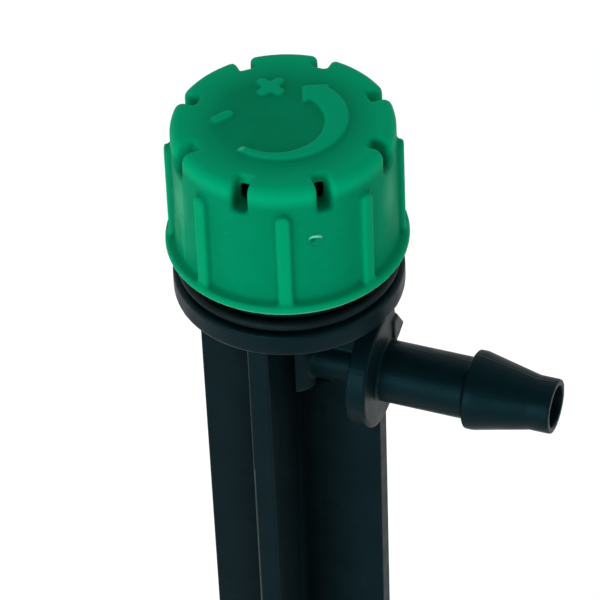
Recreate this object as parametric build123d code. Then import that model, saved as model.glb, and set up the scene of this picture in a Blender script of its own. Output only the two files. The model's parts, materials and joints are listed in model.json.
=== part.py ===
from build123d import *

import os
from math import cos, radians, sin, sqrt

# Adjustable drip emitter with eight side outlets, on a cross-section ground stake.
# A screw cap meters the water, and a barb on the side takes the supply tube.
# Millimetres. The origin is the stake's tip, +Z runs up the stake and the cap's screw axis,
# and +X runs along the inlet barb. Modelled with the cap half a turn open.

# How far a cutting solid runs past the face that it cuts
past = 1.0
# An edge whose direction climbs by more than this share of its length counts as climbing
climb_share = 0.2

# Stake: four blades that taper slightly, then run to a point
stake_length = 115.0
blade_reach_top = 7.15
blade_reach_low = 6.5
blade_thickness = 1.6
blade_root_thickness = 2.1
point_height = 16.0
point_width = 1.4
blade_edge_round = 0.2
grip_clearance = 0.2

# Head: collar, threaded spigot above it, riser and inlet neck below it
collar_radius = 8.6
collar_height = 1.9
collar_edge_round = 0.25
land_radius = 7.45
land_height = 1.2
spigot_radius = 6.4
spigot_wall = 1.3
spigot_height = 6.4
collar_floor = 1.1
riser_radius = 2.35
riser_drop = 9.2
riser_edge_round = 0.3
water_bore_radius = 0.75
standpipe_radius = 1.95
standpipe_height = 8.9
seat_depth = 0.6
seat_radius = 1.35
neck_radius = 1.6
neck_end = 5.75
neck_web_thickness = 1.0
neck_web_end = 5.4
inlet_drop = 6.85

# Screw thread between the cap and the spigot
thread_lead = 2.0
thread_crest = 6.95
thread_crest_inward = 6.55
thread_root_width = 1.2
thread_crest_width = 0.7
thread_start = 0.2
thread_turns = 2.0
thread_bite = 0.12

# Sealing ring that hugs the land just above the collar
ring_section_radius = 0.42
ring_lift = 0.5

# Cap
cap_gap = 2.35
cap_height = 10.95
flange_radius = 9.0
flange_thickness = 0.7
flange_edge_round = 0.2
flange_blend_round = 0.3
skirt_radius = 8.25
skirt_radius_top = 8.2
crown_round = 0.75
cap_bore_radius = 7.1
cap_bore_height = 7.7
chamber_radius = 6.25
chamber_height = 10.0
outlet_count = 8
slot_width = 1.15
slot_floor = 8.55
slot_back_radius = 6.65
slot_lip_round = 0.35
port_width = 1.0
port_height = 1.4
rib_reach = 8.7
rib_root_radius = 7.5
rib_width = 1.05
rib_bottom = 0.4
rib_top = 8.85
rib_edge_round = 0.22
cap_clocking = -70.4
pin_radius = 1.3
pin_nose_radius = 0.4
pin_clearance = 0.05
shut_travel = 1.0

# Raised marks on the cap: an arrow that grows towards "more", a plus and a minus
mark_height = 0.28
arrow_outer = 4.75
arrow_tail_angle = -41.5
arrow_neck_angle = 138.8
arrow_tip_angle = 158.8
arrow_tail_inner = 4.2
arrow_middle_inner = 3.45
arrow_neck_inner = 2.9
arrow_head_outer = 5.05
arrow_head_inner = 2.25
arrow_tip_radius = 3.95
stroke_width = 0.75
plus_length = 2.45
plus_radius = 3.8
plus_angle = -166.2
plus_turn = 45.8
minus_length = 1.75
minus_radius = 4.38
minus_angle = -94.2
minus_turn = -56.2

# Inlet barb: a spigot pressed into the neck, a grip flange, a stem and one barb
barb_socket_depth = 4.0
barb_socket_radius = 1.1
grip_start = 5.9
grip_thickness = 1.5
grip_radius = 4.6
grip_lift = 0.4
grip_shift = -0.25
grip_edge_round = 0.25
grip_flat = 2.5
nub_reach = 3.85
nub_bottom = 1.2
nub_peak = 1.7
nub_top = 3.6
nub_extra = 0.2
stem_radius = 2.35
stem_end = 14.05
barb_crest_radius = 3.0
barb_crest_start = 14.25
barb_crest_length = 0.6
barb_cone_end = 19.1
barb_nose_radius = 2.08
barb_tip = 20.7
barb_bore_radius = 0.75
barb_mouth_radius = 1.6
barb_mouth_depth = 11.0

collar_bottom = stake_length
collar_top = collar_bottom + collar_height
cap_bottom = collar_top + cap_gap
inlet_height = collar_bottom - inlet_drop
riser_bottom = collar_bottom - riser_drop
spigot_top = collar_top + land_height + spigot_height
standpipe_top = collar_top + standpipe_height
outlet_step = 360.0 / outlet_count


def polar(radius, angle):
    return (radius * cos(radians(angle)), radius * sin(radians(angle)))


def rod(radius, bottom, top):
    """A round bar on the Z axis between two heights."""
    return Pos(0, 0, bottom) * extrude(Circle(radius), top - bottom)


def bar_x(radius, start, end):
    """A round bar along the inlet line between two distances from the stake's axis."""
    plane = Plane(origin=(start, 0, inlet_height), x_dir=(0, 1, 0), z_dir=(1, 0, 0))
    return extrude(plane * Circle(radius), end - start)


def thread(root, crest, bottom, start_angle):
    """One helical ridge from the root radius to the crest radius, inward or outward."""
    helix = Helix(pitch=thread_lead, height=thread_turns * thread_lead, radius=root)
    plane = Plane(origin=helix @ 0, x_dir=(1, 0, 0), z_dir=helix % 0)
    step = crest - root
    ridge = Polygon(
        (0, -thread_root_width / 2),
        (step, -thread_crest_width / 2),
        (step, thread_crest_width / 2),
        (0, thread_root_width / 2),
        align=None,
    )
    place = Pos(0, 0, bottom) * Rot(0, 0, start_angle)
    return place * sweep(plane * ridge, path=helix, is_frenet=True)


def blade_rims(blade):
    """The long edges down both outer rims of one blade."""
    rims = []
    for edge in blade.edges():
        middle = edge @ 0.5
        climbing = abs((edge % 0.5).Z) > climb_share
        if climbing and abs(middle.X) > blade_reach_low / 2 and middle.Z > point_height:
            rims.append(edge)
    return rims


def make_stake():
    """A cross of four blades, forked at the top where it grips the head's riser and neck."""
    outline = Polygon(
        (-point_width / 2, 0),
        (point_width / 2, 0),
        (blade_reach_low, point_height),
        (blade_reach_top, collar_bottom),
        (-blade_reach_top, collar_bottom),
        (-blade_reach_low, point_height),
        align=None,
    )
    section = Polygon(
        (-blade_reach_top, -blade_thickness / 2),
        (0, -blade_root_thickness / 2),
        (blade_reach_top, -blade_thickness / 2),
        (blade_reach_top, blade_thickness / 2),
        (0, blade_root_thickness / 2),
        (-blade_reach_top, blade_thickness / 2),
        align=None,
    )
    blade = extrude(section, collar_bottom) & extrude(Plane.XZ * outline, blade_root_thickness, both=True)
    blade = fillet(blade_rims(blade), blade_edge_round)
    cross = blade + Rot(0, 0, 90) * blade
    riser_socket = rod(riser_radius, riser_bottom, collar_bottom + past)
    neck_slot_height = collar_bottom - inlet_height + past
    neck_slot = Pos(0, -neck_radius, inlet_height) * Box(
        2 * blade_reach_top, 2 * neck_radius, neck_slot_height, align=(Align.MIN, Align.MIN, Align.MIN)
    )
    grip_room = grip_radius - grip_lift + grip_clearance
    grip_notch = Pos(grip_start - grip_clearance, -neck_radius, inlet_height - grip_room) * Box(
        2 * blade_reach_top, 2 * neck_radius, grip_room, align=(Align.MIN, Align.MIN, Align.MIN)
    )
    return cross - riser_socket - bar_x(neck_radius, 0, 2 * blade_reach_top) - neck_slot - grip_notch


def make_head():
    """Collar, threaded spigot with its standpipe and seat, riser and side neck, one moulding."""
    collar = fillet(rod(collar_radius, collar_bottom, collar_top).edges(), collar_edge_round)
    land = rod(land_radius, collar_top, collar_top + land_height)
    spigot = rod(spigot_radius, collar_top, spigot_top)
    well = rod(spigot_radius - spigot_wall, collar_bottom + collar_floor, spigot_top + past)
    head = collar + land + spigot - well
    head += rod(standpipe_radius, collar_bottom, standpipe_top)
    riser = rod(riser_radius, riser_bottom, collar_bottom + collar_floor / 2)
    head += fillet(riser.edges().sort_by(Axis.Z)[0], riser_edge_round)
    head += bar_x(neck_radius, 0, neck_end)
    head += Pos(0, 0, inlet_height) * Box(
        neck_web_end,
        neck_web_thickness,
        collar_bottom - inlet_height + collar_floor / 2,
        align=(Align.MIN, Align.CENTER, Align.MIN),
    )
    head += thread(spigot_radius - thread_bite, thread_crest, cap_bottom + thread_start, 0)
    head -= rod(water_bore_radius, inlet_height, standpipe_top + past)
    seat = Pos(0, 0, standpipe_top - seat_depth / 2) * Cone(water_bore_radius, seat_radius, seat_depth)
    head -= seat
    head -= bar_x(water_bore_radius, 0, neck_end)
    head -= bar_x(barb_socket_radius, grip_start - barb_socket_depth, neck_end + past)
    return head


def make_ring():
    """A round-section sealing ring."""
    middle = land_radius + ring_section_radius
    return Pos(0, 0, collar_top + ring_lift) * Torus(middle, ring_section_radius)


def cap_shell():
    """The cap's turned form: flange, skirt, crown, chamber and metering pin."""
    flange_top = flange_thickness
    blend = flange_blend_round
    blend_top = flange_top + blend
    crown_start = cap_height - crown_round
    crown_radius = skirt_radius_top - crown_round
    pin_top = standpipe_height - cap_gap + shut_travel
    nose_bottom = pin_top - 2 * seat_depth
    pin_shank_radius = water_bore_radius - pin_clearance
    edge = flange_edge_round
    profile = [
        Line((cap_bore_radius, 0), (flange_radius - edge, 0)),
        RadiusArc((flange_radius - edge, 0), (flange_radius, edge), -edge),
        Line((flange_radius, edge), (flange_radius, flange_top - edge)),
        RadiusArc((flange_radius, flange_top - edge), (flange_radius - edge, flange_top), -edge),
        Line((flange_radius - edge, flange_top), (skirt_radius + blend, flange_top)),
        RadiusArc((skirt_radius + blend, flange_top), (skirt_radius, blend_top), blend),
        Line((skirt_radius, blend_top), (skirt_radius_top, crown_start)),
        RadiusArc((skirt_radius_top, crown_start), (crown_radius, cap_height), -crown_round),
        Line((crown_radius, cap_height), (0, cap_height)),
        Line((0, cap_height), (0, nose_bottom)),
        Line((0, nose_bottom), (pin_nose_radius, nose_bottom)),
        Line((pin_nose_radius, nose_bottom), (pin_shank_radius, pin_top - seat_depth)),
        Line((pin_shank_radius, pin_top - seat_depth), (pin_radius, pin_top)),
        Line((pin_radius, pin_top), (pin_radius, chamber_height)),
        Line((pin_radius, chamber_height), (chamber_radius, chamber_height)),
        Line((chamber_radius, chamber_height), (chamber_radius, cap_bore_height)),
        Line((chamber_radius, cap_bore_height), (cap_bore_radius, cap_bore_height)),
        Line((cap_bore_radius, cap_bore_height), (cap_bore_radius, 0)),
    ]
    return revolve(Plane.XZ * make_face(profile), Axis.Z)


def outlet_slots():
    """Eight slots through the crown and skirt, each with a port into the chamber."""
    slot = Pos(slot_back_radius, 0, slot_floor) * Box(
        flange_radius, slot_width, cap_height, align=(Align.MIN, Align.CENTER, Align.MIN)
    )
    port_length = slot_back_radius - chamber_radius + past
    port = Pos(chamber_radius - past / 2, 0, slot_floor) * Box(
        port_length, port_width, port_height, align=(Align.MIN, Align.CENTER, Align.MIN)
    )
    turns = [Rot(0, 0, (place + 0.5) * outlet_step) for place in range(outlet_count)]
    return [turn * slot for turn in turns], [turn * port for turn in turns]


def slot_lips(cap):
    """The long outer edges of the slots, from the slot floor up and over the crown's corner."""
    lips = []
    for edge in cap.edges():
        middle = edge @ 0.5
        reach = sqrt(middle.X**2 + middle.Y**2)
        climbing = abs((edge % 0.5).Z) > climb_share
        if climbing and reach > slot_back_radius + slot_lip_round and middle.Z > slot_floor:
            lips.append(edge)
    return lips


def grip_ribs():
    """Eight grip ribs that rise from the flange up the skirt, with rounded tops."""
    straight = rib_top - rib_bottom - rib_width / 2
    outline = Pos(0, straight / 2) * Rectangle(rib_width, straight) + Pos(0, straight) * Circle(rib_width / 2)
    plane = Plane(origin=(rib_root_radius, 0, rib_bottom), x_dir=(0, 1, 0), z_dir=(1, 0, 0))
    rib = extrude(plane * outline, rib_reach - rib_root_radius)
    rib = fillet(rib.faces().sort_by(Axis.X)[-1].edges(), rib_edge_round)
    return [Rot(0, 0, place * outlet_step) * rib for place in range(outlet_count)]


def mark_plane(radius, angle, turn):
    """A plane sunk a little into the crown, at a polar place, turned about its own centre."""
    place = polar(radius, angle)
    return Pos(place[0], place[1], cap_height - mark_height) * Rot(0, 0, turn)


def raised_marks():
    """The arrow, the plus and the minus, standing proud of the crown."""
    tip = polar(arrow_tip_radius, arrow_tip_angle)
    middle = (arrow_tail_angle + arrow_neck_angle) / 2
    arrow = make_face(
        [
            ThreePointArc(*[polar(arrow_outer, a) for a in (arrow_tail_angle, middle, arrow_neck_angle)]),
            Line(polar(arrow_outer, arrow_neck_angle), polar(arrow_head_outer, arrow_neck_angle)),
            Line(polar(arrow_head_outer, arrow_neck_angle), tip),
            Line(tip, polar(arrow_head_inner, arrow_neck_angle)),
            Line(polar(arrow_head_inner, arrow_neck_angle), polar(arrow_neck_inner, arrow_neck_angle)),
            ThreePointArc(
                polar(arrow_neck_inner, arrow_neck_angle),
                polar(arrow_middle_inner, middle),
                polar(arrow_tail_inner, arrow_tail_angle),
            ),
            Line(polar(arrow_tail_inner, arrow_tail_angle), polar(arrow_outer, arrow_tail_angle)),
        ]
    )
    plus = SlotOverall(plus_length, stroke_width) + SlotOverall(plus_length, stroke_width, rotation=90)
    minus = SlotOverall(minus_length, stroke_width)
    height = 2 * mark_height
    marks = [extrude(Pos(0, 0, cap_height - mark_height) * arrow, height)]
    marks.append(mark_plane(plus_radius, plus_angle, plus_turn) * extrude(plus, height))
    marks.append(mark_plane(minus_radius, minus_angle, minus_turn) * extrude(minus, height))
    return marks


def make_cap():
    """The screw cap, with its underside at height 0 and a rib on the +X side."""
    slots, ports = outlet_slots()
    cap = cap_shell()
    for slot in slots:
        cap -= slot
    cap = fillet(slot_lips(cap), slot_lip_round)
    for rib in grip_ribs():
        cap += rib
    for port in ports:
        cap -= port
    for mark in raised_marks():
        cap += mark
    cap += thread(
        cap_bore_radius + thread_bite, thread_crest_inward, thread_start + thread_lead / 2, -cap_clocking
    )
    return cap


def make_grip():
    """The barb's round grip flange, with one flat and the nub of the moulding gate on it."""
    disc = Pos(grip_shift, grip_lift) * Circle(grip_radius)
    beyond = Pos(grip_flat, 0) * Rectangle(
        2 * grip_radius, 4 * grip_radius, align=(Align.MIN, Align.CENTER)
    )
    nub = Polygon(
        (grip_flat - past, nub_bottom),
        (grip_flat, nub_bottom),
        (nub_reach, nub_peak),
        (grip_flat, nub_top),
        (grip_flat - past, nub_top),
        align=None,
    )
    plane = Plane(origin=(grip_start, 0, 0), x_dir=(0, 1, 0), z_dir=(1, 0, 0))
    grip = extrude(plane * (disc - beyond), grip_thickness)
    grip = fillet(grip.faces().sort_by(Axis.X)[-1].edges(), grip_edge_round)
    gate = extrude(plane * nub, grip_thickness + nub_extra)
    return grip + fillet(gate.faces().sort_by(Axis.X)[-1].edges(), grip_edge_round)


def make_barb():
    """The inlet barb, turned about the inlet line, with its grip flange."""
    outline = [
        (grip_start - barb_socket_depth, barb_bore_radius),
        (grip_start - barb_socket_depth, barb_socket_radius),
        (grip_start + grip_thickness / 2, barb_socket_radius),
        (grip_start + grip_thickness / 2, stem_radius),
        (stem_end, stem_radius),
        (barb_crest_start, barb_crest_radius),
        (barb_crest_start + barb_crest_length, barb_crest_radius),
        (barb_cone_end, barb_nose_radius),
        (barb_tip, barb_nose_radius),
        (barb_tip, barb_mouth_radius),
        (barb_tip - barb_mouth_depth, barb_bore_radius),
    ]
    body = revolve(make_face(Polyline(*outline, close=True)), Axis.X)
    grip = make_grip() - Rot(0, 90, 0) * extrude(Circle(barb_bore_radius), barb_tip)
    return Pos(0, 0, inlet_height) * (body + grip)


def write(name, shape):
    shape.label = name
    export_step(shape, os.path.join("parts", name + ".step"))
    print(name, round(shape.volume, 1), shape.is_valid, len(shape.solids()))


os.makedirs("parts", exist_ok=True)
write("stake", make_stake())
write("emitter_head", make_head())
write("inlet_barb", make_barb())
write("seal_ring", make_ring())
write("control_cap", Pos(0, 0, cap_bottom) * Rot(0, 0, cap_clocking) * make_cap())
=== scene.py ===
import json
from math import cos, radians, sin, tau

import bmesh
import bpy
from mathutils import Matrix, Vector


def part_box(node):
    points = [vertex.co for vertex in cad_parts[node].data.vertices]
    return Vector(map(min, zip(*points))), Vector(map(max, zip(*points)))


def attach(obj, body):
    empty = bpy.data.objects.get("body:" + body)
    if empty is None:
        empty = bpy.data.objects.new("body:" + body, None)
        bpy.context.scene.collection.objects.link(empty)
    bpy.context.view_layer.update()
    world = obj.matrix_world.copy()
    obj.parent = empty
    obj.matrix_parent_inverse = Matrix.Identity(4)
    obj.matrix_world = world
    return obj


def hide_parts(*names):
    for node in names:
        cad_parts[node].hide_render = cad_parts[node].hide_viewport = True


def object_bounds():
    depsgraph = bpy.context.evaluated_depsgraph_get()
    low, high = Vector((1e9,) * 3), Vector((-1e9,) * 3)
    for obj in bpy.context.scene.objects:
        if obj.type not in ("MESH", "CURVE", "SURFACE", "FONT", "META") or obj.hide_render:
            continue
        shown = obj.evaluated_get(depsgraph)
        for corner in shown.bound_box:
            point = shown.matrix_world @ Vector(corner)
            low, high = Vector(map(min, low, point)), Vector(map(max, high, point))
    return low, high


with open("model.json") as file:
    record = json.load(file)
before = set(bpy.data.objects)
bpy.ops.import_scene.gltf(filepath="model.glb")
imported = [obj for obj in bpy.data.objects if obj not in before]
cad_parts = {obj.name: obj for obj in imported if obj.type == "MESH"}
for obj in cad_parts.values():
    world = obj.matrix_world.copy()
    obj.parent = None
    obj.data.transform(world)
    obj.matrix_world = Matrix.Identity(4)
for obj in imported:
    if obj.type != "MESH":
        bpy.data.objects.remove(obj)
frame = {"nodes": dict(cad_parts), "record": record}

# Looks of the drip emitter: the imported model's shapes as softly rounded mouldings, their
# moulding marks, the materials, and a pale studio. Metres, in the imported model's frame.

MM = 0.001

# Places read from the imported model
CAD_LOW, CAD_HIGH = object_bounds()
CAP_LOW, CAP_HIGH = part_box("control_cap")
BARB_LOW, BARB_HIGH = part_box("inlet_barb")
STAKE_LOW, STAKE_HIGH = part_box("stake")
MOUNTS = {mount["name"]: mount for mount in frame["record"]["mounts"]}
INLET_HEIGHT = MOUNTS["inlet_barb"]["pos_m"][2]

# The photographed viewing angle, in degrees, and the aim beside the cap's underside
CAMERA_AZIMUTH = 21.8
CAMERA_ELEVATION = 39.8
CAMERA_ROLL = -2.47
CAMERA_DISTANCE = 0.35
CAMERA_LENS = 285.7
AIM_RIGHT = 0.69 * MM
AIM_DOWN = 4.72 * MM

# Mesh size of each remeshed moulding, and the angle past which the stake's edges stay sharp
CAP_VOXEL = 0.149 * MM
HEAD_VOXEL = 0.1425 * MM
BARB_VOXEL = 0.10 * MM
RING_VOXEL = 0.08 * MM
STAKE_SHARP_ANGLE = 32

# The sheared gate on the cap's skirt
GATE_AZIMUTH = 35.8
GATE_LIFT = 6.08 * MM
GATE_RADIUS = 0.62 * MM
GATE_STEPS = 36
GATE_TORN_HEIGHT = 0.13 * MM

# The thin end of the crown's arrow, where a highlight is painted
TAIL_AZIMUTH = -21.7

# Flash lines: the barb's two seams, turned a little from upright, and the front blade's corner
SEAM_TURN = radians(10)
SEAM_STEPS = 60
SEAM_WIDTH = 0.16 * MM
SEAM_RISE = 0.035 * MM
BLADE_FLASH_STEPS = 70
BLADE_FLASH_SIDE = -0.66 * MM
BLADE_FLASH_WIDTH = 0.14 * MM
BLADE_FLASH_RISE = 0.03 * MM

# How far outside a piece the lines start that look for its surface
OUTSIDE = 20 * MM

# ---------------------------------------------------------------- mesh helpers


def toward(azimuth, elevation):
    """The direction from the object to an onlooker at that azimuth and elevation."""
    a = radians(azimuth)
    e = radians(elevation)
    return Vector((sin(a) * cos(e), -cos(a) * cos(e), sin(e)))


def link(name, mesh):
    """Puts a mesh into the scene as a piece."""
    piece = bpy.data.objects.new(name, mesh)
    bpy.context.scene.collection.objects.link(piece)
    return piece


def baked(piece):
    """Applies the piece's modifiers to its mesh."""
    graph = bpy.context.evaluated_depsgraph_get()
    mesh = bpy.data.meshes.new_from_object(piece.evaluated_get(graph), depsgraph=graph)
    old = piece.data
    piece.modifiers.clear()
    piece.data = mesh
    bpy.data.meshes.remove(old)


def moulded_copy(name, node, voxel, rounds):
    """A copy of a CAD node in even quads, relaxed so that its edges are soft like a moulding's."""
    grow = 1000.0
    mesh = frame["nodes"][node].data.copy()
    mesh.transform(Matrix.Scale(grow, 4))
    mesh.materials.clear()
    piece = link(name, mesh)
    remesh = piece.modifiers.new("even", "REMESH")
    remesh.mode = "VOXEL"
    remesh.voxel_size = voxel * grow
    smooth = piece.modifiers.new("soft", "SMOOTH")
    smooth.factor = 0.5
    smooth.iterations = rounds
    baked(piece)
    piece.data.transform(Matrix.Scale(1 / grow, 4))
    for face in piece.data.polygons:
        face.use_smooth = True
    return piece


def crisp_copy(name, node, sharp_angle):
    """A copy of a CAD node whose flat faces stay flat and whose rounded rims shade smoothly."""
    mesh = frame["nodes"][node].data.copy()
    mesh.materials.clear()
    piece = link(name, mesh)
    shape = bmesh.new()
    shape.from_mesh(mesh)
    bmesh.ops.remove_doubles(shape, verts=shape.verts, dist=0.001 * MM)
    shape.to_mesh(mesh)
    shape.free()
    for face in mesh.polygons:
        face.use_smooth = True
    mesh.set_sharp_from_angle(angle=radians(sharp_angle))
    flat = piece.modifiers.new("flat", "WEIGHTED_NORMAL")
    flat.keep_sharp = True
    flat.weight = 100
    baked(piece)
    return piece


def touch(piece, start, direction):
    """The point where a line from a place outside first meets the piece."""
    hit, place, _, _ = piece.ray_cast(start, direction)
    return place if hit else None


def joined_rows(name, shape, rows, closed):
    """Joins rows of four corners into a tube's faces, and makes the shape a piece."""
    for near, far in zip(rows, rows[1:] + rows[:1] if closed else rows[1:]):
        for k in range(4):
            j = (k + 1) % 4
            shape.faces.new((near[k], near[j], far[j], far[k]))
    if not closed:
        shape.faces.new(rows[0])
        shape.faces.new(rows[-1][::-1])
    bmesh.ops.recalc_face_normals(shape, faces=shape.faces)
    mesh = bpy.data.meshes.new(name)
    shape.to_mesh(mesh)
    shape.free()
    return link(name, mesh)


def flash_line(name, points, out, width, height):
    """A thin ridge of moulding flash along points on a surface, standing out along a direction."""
    shape = bmesh.new()
    rows = []
    for place, point in enumerate(points):
        ahead = points[min(place + 1, len(points) - 1)] - points[max(place - 1, 0)]
        side = ahead.cross(out).normalized() * (width / 2)
        foot = out * (-height)
        top = out * height
        corners = (
            point - side + foot,
            point - side * 0.4 + top,
            point + side * 0.4 + top,
            point + side + foot,
        )
        rows.append([shape.verts.new(corner) for corner in corners])
    return joined_rows(name, shape, rows, False)


# ---------------------------------------------------------------- moulding marks


def make_gate_mark(cap):
    """The sheared gate on the skirt: a faint raised ring with a torn crescent at its top."""
    out = toward(GATE_AZIMUTH, 0)
    height = CAP_LOW.z + GATE_LIFT
    axis = Vector((0, 0, height))
    skirt = (touch(cap, axis + out * OUTSIDE, -out) - axis).length
    across = Vector((0, 0, 1)).cross(out)
    shape = bmesh.new()
    # Share of the mark's radius, and rise above the skirt in millimetres
    cuts = ((1.0, -0.05), (0.9, 0.03), (0.72, 0.03), (0.6, -0.05))
    rows = []
    for step in range(GATE_STEPS):
        turn = tau * step / GATE_STEPS
        crest = max(0.0, sin(turn + 0.35)) ** 3
        row = []
        for share, rise in cuts:
            reach = GATE_RADIUS * share * (1 + 0.05 * sin(3 * turn))
            lift = rise * MM + (GATE_TORN_HEIGHT * crest if rise > 0 else 0.0)
            offset = across * (cos(turn) * reach) + Vector((0, 0, sin(turn) * reach))
            spot = axis + offset + out * skirt
            radial = Vector((spot.x, spot.y, 0)).normalized()
            spot = Vector((0, 0, spot.z)) + radial * (skirt + lift)
            row.append(shape.verts.new(spot))
        rows.append(row)
    mark = joined_rows("gate_mark", shape, rows, True)
    for face in mark.data.polygons:
        face.use_smooth = True
    return mark


def make_barb_seams(barb):
    """Flash where the two mould halves met, along the top and the bottom of the barb."""
    seams = []
    first = BARB_LOW.x + 6.0 * MM
    last = BARB_HIGH.x - 0.12 * MM
    for name, side in (("barb_seam_top", 1), ("barb_seam_bottom", -1)):
        up = Vector((0, side * sin(SEAM_TURN), side * cos(SEAM_TURN)))
        points = []
        for step in range(SEAM_STEPS + 1):
            x = first + (last - first) * step / SEAM_STEPS
            points.append(touch(barb, Vector((x, 0, INLET_HEIGHT)) + up * OUTSIDE, -up))
        seams.append(flash_line(name, points, up, SEAM_WIDTH, SEAM_RISE))
    return seams


def make_blade_flash(stake):
    """A thin line of flash down the left corner of the front blade, ending short of its top."""
    out = Vector((0, -1, 0))
    points = []
    high = STAKE_HIGH.z - 13 * MM
    low = STAKE_LOW.z + 20 * MM
    for step in range(BLADE_FLASH_STEPS + 1):
        z = low + (high - low) * step / BLADE_FLASH_STEPS
        start = Vector((BLADE_FLASH_SIDE, STAKE_LOW.y - 5 * MM, z))
        points.append(touch(stake, start, -out))
    return flash_line("blade_flash", points, out, BLADE_FLASH_WIDTH, BLADE_FLASH_RISE)


# ---------------------------------------------------------------- material helpers


class Nodes:
    """A short way to write a material's node tree."""

    def __init__(self, name):
        self.material = bpy.data.materials.new(name)
        self.material.use_nodes = True
        self.tree = self.material.node_tree
        self.shader = self.tree.nodes["Principled BSDF"]

    def add(self, kind, **values):
        node = self.tree.nodes.new(kind)
        for key, value in values.items():
            if hasattr(node, key):
                setattr(node, key, value)
            else:
                node.inputs[key.replace("_", " ")].default_value = value
        return node

    def join(self, out, into):
        self.tree.links.new(out, into)

    def noise(self, scale, detail=4.0, roughness=0.55):
        place = self.add("ShaderNodeTexCoord")
        node = self.add("ShaderNodeTexNoise", Scale=scale, Detail=detail, Roughness=roughness)
        self.join(place.outputs["Object"], node.inputs["Vector"])
        return node.outputs["Fac"]

    def ramp(self, value, low, high, colour_low, colour_high):
        node = self.add("ShaderNodeValToRGB")
        node.color_ramp.elements[0].position = low
        node.color_ramp.elements[1].position = high
        node.color_ramp.elements[0].color = (*colour_low, 1)
        node.color_ramp.elements[1].color = (*colour_high, 1)
        self.join(value, node.inputs["Fac"])
        return node.outputs["Color"]

    def mix(self, share, first, second, blend="MIX"):
        node = self.add("ShaderNodeMix")
        node.data_type = "RGBA"
        node.blend_type = blend
        for value, key in ((share, 0), (first, 6), (second, 7)):
            if isinstance(value, (int, float)):
                node.inputs[key].default_value = value
            elif isinstance(value, tuple):
                node.inputs[key].default_value = (*value, 1)
            else:
                self.join(value, node.inputs[key])
        return node.outputs[2]

    def span(self, value, low, high, to_low, to_high):
        node = self.add("ShaderNodeMapRange")
        self.join(value, node.inputs[0])
        for key, number in zip((1, 2, 3, 4), (low, high, to_low, to_high)):
            node.inputs[key].default_value = number
        return node.outputs[0]

    def radius(self):
        """How far a point lies from the screw axis."""
        place = self.add("ShaderNodeTexCoord")
        flat = self.add("ShaderNodeVectorMath", operation="MULTIPLY")
        self.join(place.outputs["Object"], flat.inputs[0])
        flat.inputs[1].default_value = (1, 1, 0)
        size = self.add("ShaderNodeVectorMath", operation="LENGTH")
        self.join(flat.outputs[0], size.inputs[0])
        return size.outputs["Value"]

    def height(self):
        """How high a point lies above the stake's tip."""
        place = self.add("ShaderNodeTexCoord")
        split = self.add("ShaderNodeSeparateXYZ")
        self.join(place.outputs["Object"], split.inputs[0])
        return split.outputs["Z"]

    def near(self, centre, reach, soft, tall=1.0):
        """One near a place and nothing beyond its reach, with a soft and stretched edge."""
        place = self.add("ShaderNodeTexCoord")
        shift = self.add("ShaderNodeVectorMath", operation="SUBTRACT")
        self.join(place.outputs["Object"], shift.inputs[0])
        shift.inputs[1].default_value = centre
        squash = self.add("ShaderNodeVectorMath", operation="MULTIPLY")
        self.join(shift.outputs[0], squash.inputs[0])
        squash.inputs[1].default_value = (1, 1, 1 / tall)
        size = self.add("ShaderNodeVectorMath", operation="LENGTH")
        self.join(squash.outputs[0], size.inputs[0])
        return self.span(size.outputs["Value"], reach * (1 - soft), reach, 1.0, 0.0)

    def times(self, first, second):
        node = self.add("ShaderNodeMath", operation="MULTIPLY")
        self.join(first, node.inputs[0])
        if isinstance(second, (int, float)):
            node.inputs[1].default_value = second
        else:
            self.join(second, node.inputs[1])
        return node.outputs[0]

    def plus(self, first, second):
        node = self.add("ShaderNodeMath", operation="ADD")
        self.join(first, node.inputs[0])
        self.join(second, node.inputs[1])
        return node.outputs[0]

    def edges(self):
        geometry = self.add("ShaderNodeNewGeometry")
        return geometry.outputs["Pointiness"]

    def bump(self, height, distance, strength, over=None):
        node = self.add("ShaderNodeBump", Strength=strength, Distance=distance)
        self.join(height, node.inputs["Height"])
        if over is not None:
            self.join(over, node.inputs["Normal"])
        return node.outputs["Normal"]


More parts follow.
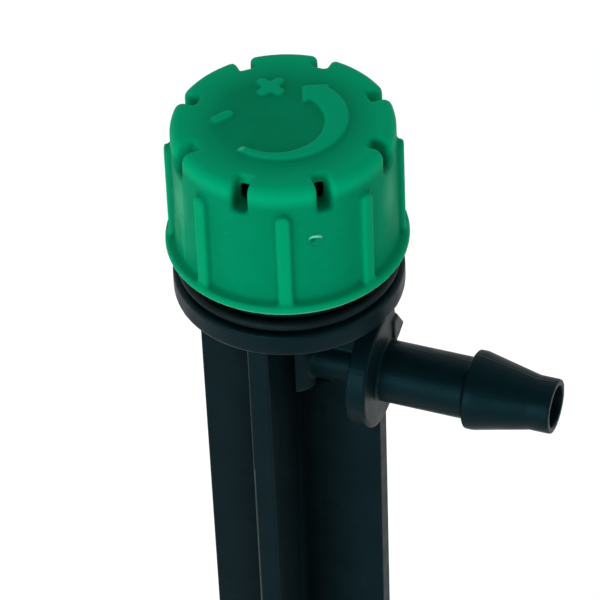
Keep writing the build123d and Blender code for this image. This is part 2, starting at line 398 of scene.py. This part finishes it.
def green_plastic():
    """Green polypropylene with a fine spark-eroded grain and paler worn edges; painted highlights
    on its ribs, flange edges, crown rim, raised marks and arrow tail, painted sheen on its flanks,
    and painted shade in its creases.
    """
    n = Nodes("green_plastic")
    mottle = n.ramp(n.noise(260.0), 0.35, 0.65, (0.0, 0.149, 0.067), (0.0, 0.165, 0.076))
    reach = n.radius()
    # Painted highlight: the ribs and the flange edge, which stand out past the skirt, are made
    # paler as if they catch the light.
    painted_rib_and_flange_highlight = n.span(reach, 8.38 * MM, 8.62 * MM, 0.0, 1.0)
    colour = n.mix(painted_rib_and_flange_highlight, mottle, (0.0, 0.210, 0.092))
    # Painted highlight: the crown's rounded outer rim, near the top, is made paler where it turns
    # toward the light.
    crown = n.span(n.height(), CAP_HIGH.z - 2.0 * MM, CAP_HIGH.z - 1.2 * MM, 0.0, 1.0)
    outer = n.span(reach, 4.6 * MM, 7.2 * MM, 0.0, 1.0)
    colour = n.mix(n.times(crown, outer), colour, (0.0, 0.238, 0.108))
    edge = n.span(n.edges(), 0.56, 0.66, 0.0, 0.5)
    below = n.span(n.height(), CAP_HIGH.z - 1.2 * MM, CAP_HIGH.z - 0.8 * MM, 1.0, 0.0)
    colour = n.mix(n.times(edge, below), colour, (0.0, 0.25, 0.11))
    # Painted highlight: the tops of the raised marks on the crown are made paler, as if lit.
    marks = n.span(n.height(), CAP_HIGH.z - 0.17 * MM, CAP_HIGH.z - 0.07 * MM, 0.0, 1.0)
    colour = n.mix(marks, colour, (0.0, 0.236, 0.112))
    # Painted shade: concave creases and hollows, such as the flange blend and the slot walls, are
    # darkened.
    painted_crease_shade = n.span(n.edges(), 0.41, 0.489, 0.95, 0.0)
    colour = n.mix(painted_crease_shade, colour, (0.0, 0.074, 0.031))
    # Painted highlight: a thin pale line along the flange's lower outer edge.
    low = n.span(n.height(), CAP_LOW.z + 0.12 * MM, CAP_LOW.z + 0.26 * MM, 0.8, 0.0)
    painted_rim_highlight = n.times(n.span(reach, 8.85 * MM, 8.93 * MM, 0.0, 1.0), low)
    colour = n.mix(painted_rim_highlight, colour, (0.055, 0.29, 0.165))
    # Painted sheen: two pale patches on the skirt's flanks, set from the camera's azimuth, stand
    # in for grazing reflections.
    for azimuth, lift in ((CAMERA_AZIMUTH - 70, 6.2), (CAMERA_AZIMUTH + 66, 6.4)):
        centre = toward(azimuth, 0) * (8.2 * MM) + Vector((0, 0, CAP_LOW.z + lift * MM))
        painted_sheen_patch = n.times(n.near(centre, 1.5 * MM, 0.8, 1.9), 0.75)
        colour = n.mix(painted_sheen_patch, colour, (0.028, 0.235, 0.130))
    # Painted highlight: the thin end of the crown's arrow is made much paler, as if catching the
    # light.
    painted_tail_highlight = toward(TAIL_AZIMUTH, 0) * (4.45 * MM) + Vector((0, 0, CAP_HIGH.z))
    colour = n.mix(n.times(n.near(painted_tail_highlight, 0.45 * MM, 0.8), 0.8), colour, (0.045, 0.39, 0.21))
    torn = toward(GATE_AZIMUTH - 1.5, 0) * (8.24 * MM)
    torn += Vector((0, 0, CAP_LOW.z + GATE_LIFT + 0.14 * MM))
    colour = n.mix(n.times(n.near(torn, 0.3 * MM, 0.6), 0.8), colour, (0.0, 0.075, 0.040))
    n.join(colour, n.shader.inputs["Base Color"])
    n.join(n.span(n.noise(900.0), 0.3, 0.7, 0.42, 0.55), n.shader.inputs["Roughness"])
    grain = n.bump(n.noise(6000.0, 3.0), 0.00003, 0.30)
    sag = n.bump(n.noise(220.0, 2.0), 0.00012, 0.20, over=grain)
    n.join(sag, n.shader.inputs["Normal"])
    n.shader.inputs["Specular IOR Level"].default_value = 0.008
    n.shader.inputs["Specular Tint"].default_value = (0.2, 1.0, 0.7, 1)
    n.shader.inputs["Subsurface Weight"].default_value = 0.10
    n.shader.inputs["Subsurface Radius"].default_value = (0.1, 1.0, 0.6)
    n.shader.inputs["Subsurface Scale"].default_value = 0.0006
    return n.material


def black_plastic(name, dark, light, mirror, worn):
    """Black polypropylene, satin, with faint flow marks and, where worn, rubbed edges; where not
    worn, painted shade darkening the corners near the axis.
    """
    n = Nodes(name)
    colour = n.ramp(n.noise(300.0), 0.35, 0.7, dark, light)
    if worn:
        edge = n.span(n.edges(), 0.53, 0.64, 0.0, 0.6)
        colour = n.mix(edge, colour, (0.006, 0.014, 0.016))
    gloss = n.span(n.noise(700.0), 0.3, 0.7, 0.36, 0.48)
    if not worn:
        # Painted shade: the colour darkens toward the axis, in the corners between the blades; the
        # same mask also makes the surface rougher there.
        corner = n.span(n.radius(), 1.4 * MM, 5.5 * MM, 1.0, 0.0)
        colour = n.mix(corner, colour, (0.0001, 0.0004, 0.0006))
        gloss = n.plus(gloss, n.times(corner, 0.45))
    n.join(colour, n.shader.inputs["Base Color"])
    n.join(gloss, n.shader.inputs["Roughness"])
    grain = n.bump(n.noise(5000.0, 3.0), 0.00003, 0.35)
    sag = n.bump(n.noise(180.0, 2.0), 0.00015, 0.25, over=grain)
    n.join(sag, n.shader.inputs["Normal"])
    n.shader.inputs["Specular IOR Level"].default_value = mirror
    n.shader.inputs["Specular Tint"].default_value = (0.22, 0.85, 1.0, 1)
    return n.material


def flash_plastic():
    """The same black polypropylene, paler, on the thin flash lines."""
    n = Nodes("flash_plastic")
    mottle = n.ramp(n.noise(400.0), 0.35, 0.65, (0.010, 0.022, 0.024), (0.022, 0.042, 0.044))
    n.join(mottle, n.shader.inputs["Base Color"])
    n.join(n.span(n.noise(900.0), 0.3, 0.7, 0.5, 0.65), n.shader.inputs["Roughness"])
    n.join(n.bump(n.noise(5000.0, 3.0), 0.00003, 0.3), n.shader.inputs["Normal"])
    n.shader.inputs["Specular IOR Level"].default_value = 0.08
    return n.material


def gate_plastic():
    """The same green polypropylene where it was sheared at the gate and turned milky."""
    n = Nodes("gate_plastic")
    middle = CAP_LOW.z + GATE_LIFT
    top = n.span(n.height(), middle + 0.20 * MM, middle + 0.52 * MM, 0.0, 1.0)
    mottle = n.ramp(n.noise(800.0), 0.35, 0.65, (0.0, 0.125, 0.060), (0.0, 0.150, 0.070))
    n.join(n.mix(top, mottle, (0.12, 0.50, 0.34)), n.shader.inputs["Base Color"])
    n.join(n.span(n.noise(2000.0), 0.3, 0.7, 0.4, 0.55), n.shader.inputs["Roughness"])
    n.join(n.bump(n.noise(6000.0, 3.0), 0.00003, 0.3), n.shader.inputs["Normal"])
    n.shader.inputs["Specular IOR Level"].default_value = 0.03
    return n.material


def black_rubber():
    """Soft black rubber, duller than the plastic."""
    n = Nodes("black_rubber")
    mottle = n.ramp(n.noise(500.0), 0.3, 0.7, (0.0012, 0.0032, 0.0038), (0.0024, 0.0054, 0.0062))
    n.join(mottle, n.shader.inputs["Base Color"])
    n.join(n.span(n.noise(1500.0), 0.3, 0.7, 0.42, 0.58), n.shader.inputs["Roughness"])
    n.join(n.bump(n.noise(7000.0, 3.0), 0.00003, 0.5), n.shader.inputs["Normal"])
    n.shader.inputs["Specular IOR Level"].default_value = 0.1
    n.shader.inputs["Specular Tint"].default_value = (0.4, 0.9, 1.0, 1)
    return n.material


def pale_floor():
    """A matt white sheet that gives off a little light of its own."""
    n = Nodes("pale_floor")
    tone = n.ramp(n.noise(3.0), 0.3, 0.7, (0.92, 0.92, 0.92), (0.95, 0.95, 0.95))
    n.join(tone, n.shader.inputs["Base Color"])
    n.shader.inputs["Roughness"].default_value = 0.9
    n.shader.inputs["Emission Color"].default_value = (1, 1, 1, 1)
    n.shader.inputs["Emission Strength"].default_value = 0.12
    return n.material


# ---------------------------------------------------------------- studio


def make_camera():
    """A long lens at the photographed viewing angle, aimed a little below the cap."""
    back = toward(CAMERA_AZIMUTH, CAMERA_ELEVATION)
    middle = Vector((0, 0, CAP_LOW.z))
    right = Vector((0, 0, 1)).cross(back).normalized()
    up = back.cross(right)
    eye = middle + back * CAMERA_DISTANCE
    aim = middle + right * AIM_RIGHT - up * AIM_DOWN
    data = bpy.data.cameras.new("camera")
    data.lens = CAMERA_LENS
    data.clip_start = CAMERA_DISTANCE / 10
    camera = bpy.data.objects.new("camera", data)
    turn = (aim - eye).to_track_quat("-Z", "Y").to_matrix().to_4x4()
    roll = Matrix.Rotation(radians(CAMERA_ROLL), 4, "Z")
    camera.matrix_world = Matrix.Translation(eye) @ turn @ roll
    bpy.context.scene.collection.objects.link(camera)
    bpy.context.scene.camera = camera


def soft_light(name, azimuth, elevation, distance, width, height, power):
    """A wide softbox that looks at the head."""
    data = bpy.data.lights.new(name, "AREA")
    data.shape = "RECTANGLE"
    data.size = width
    data.size_y = height
    data.energy = power
    light = bpy.data.objects.new(name, data)
    target = Vector((0, 0, CAP_LOW.z))
    place = target + toward(azimuth, elevation) * distance
    turn = (target - place).to_track_quat("-Z", "Y").to_matrix().to_4x4()
    light.matrix_world = Matrix.Translation(place) @ turn
    bpy.context.scene.collection.objects.link(light)


def make_studio():
    """The floor, a sky that is brighter behind the object than in front, and two softboxes."""
    mesh = bpy.data.meshes.new("floor")
    sheet = bmesh.new()
    bmesh.ops.create_grid(sheet, x_segments=8, y_segments=8, size=4.0)
    sheet.to_mesh(mesh)
    sheet.free()
    floor = link("floor", mesh)
    floor.location.z = CAD_LOW.z - 0.2 * MM
    mesh.materials.append(pale_floor())
    world = bpy.data.worlds.new("studio")
    bpy.context.scene.world = world
    world.use_nodes = True
    tree = world.node_tree
    sky = tree.nodes["Background"]
    sky.inputs["Color"].default_value = (1, 1, 1, 1)
    place = tree.nodes.new("ShaderNodeTexCoord")
    facing = tree.nodes.new("ShaderNodeVectorMath")
    facing.operation = "DOT_PRODUCT"
    facing.inputs[1].default_value = toward(CAMERA_AZIMUTH, 0)
    glow = tree.nodes.new("ShaderNodeMapRange")
    glow.interpolation_type = "SMOOTHSTEP"
    for key, number in zip((1, 2, 3, 4), (-0.35, 0.45, 1.2, 0.3)):
        glow.inputs[key].default_value = number
    tree.links.new(place.outputs["Generated"], facing.inputs[0])
    tree.links.new(facing.outputs["Value"], glow.inputs[0])
    tree.links.new(glow.outputs[0], sky.inputs["Strength"])
    soft_light("key", -10, 9, 0.8, 0.8, 0.4, 6.3)
    soft_light("fill", 84, 14, 0.8, 0.6, 0.4, 1.7)
    bpy.context.scene.view_settings.view_transform = "Standard"


# ---------------------------------------------------------------- assembly


def place_piece(piece, body, slot, material, *nodes):
    """Gives a piece its material and its body, and hides the CAD nodes it stands for. The slot is
    not used.
    """
    piece.data.materials.clear()
    piece.data.materials.append(material)
    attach(piece, body)
    if nodes:
        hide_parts(*nodes)


make_camera()
make_studio()
green = green_plastic()
black = black_plastic(
    "black_plastic", (0.0006, 0.0040, 0.0054), (0.0012, 0.0058, 0.0078), 0.075, True
)
stake_black = black_plastic(
    "stake_plastic", (0.0008, 0.0046, 0.0062), (0.0014, 0.0064, 0.0086), 0.048, False
)
flash = flash_plastic()
rubber = black_rubber()
cap = moulded_copy("screw_cap", "control_cap", CAP_VOXEL, 2)
head = moulded_copy("head_moulding", "emitter_head", HEAD_VOXEL, 3)
barb = moulded_copy("barb_moulding", "inlet_barb", BARB_VOXEL, 2)
stake = crisp_copy("stake_moulding", "stake", STAKE_SHARP_ANGLE)
ring = moulded_copy("o_ring", "seal_ring", RING_VOXEL, 3)
bpy.context.view_layer.update()
gate = make_gate_mark(cap)
seams = make_barb_seams(barb)
blade_flash = make_blade_flash(stake)
place_piece(cap, "cap", "green_plastic", green, "control_cap")
place_piece(gate, "cap", "green_plastic", gate_plastic())
place_piece(head, "body", "black_plastic", black, "emitter_head")
place_piece(barb, "body", "black_plastic", black, "inlet_barb")
for seam in seams:
    place_piece(seam, "body", "black_plastic", flash)
place_piece(stake, "body", "black_plastic", stake_black, "stake")
place_piece(blade_flash, "body", "black_plastic", flash)
place_piece(ring, "ring", "black_rubber", rubber, "seal_ring")
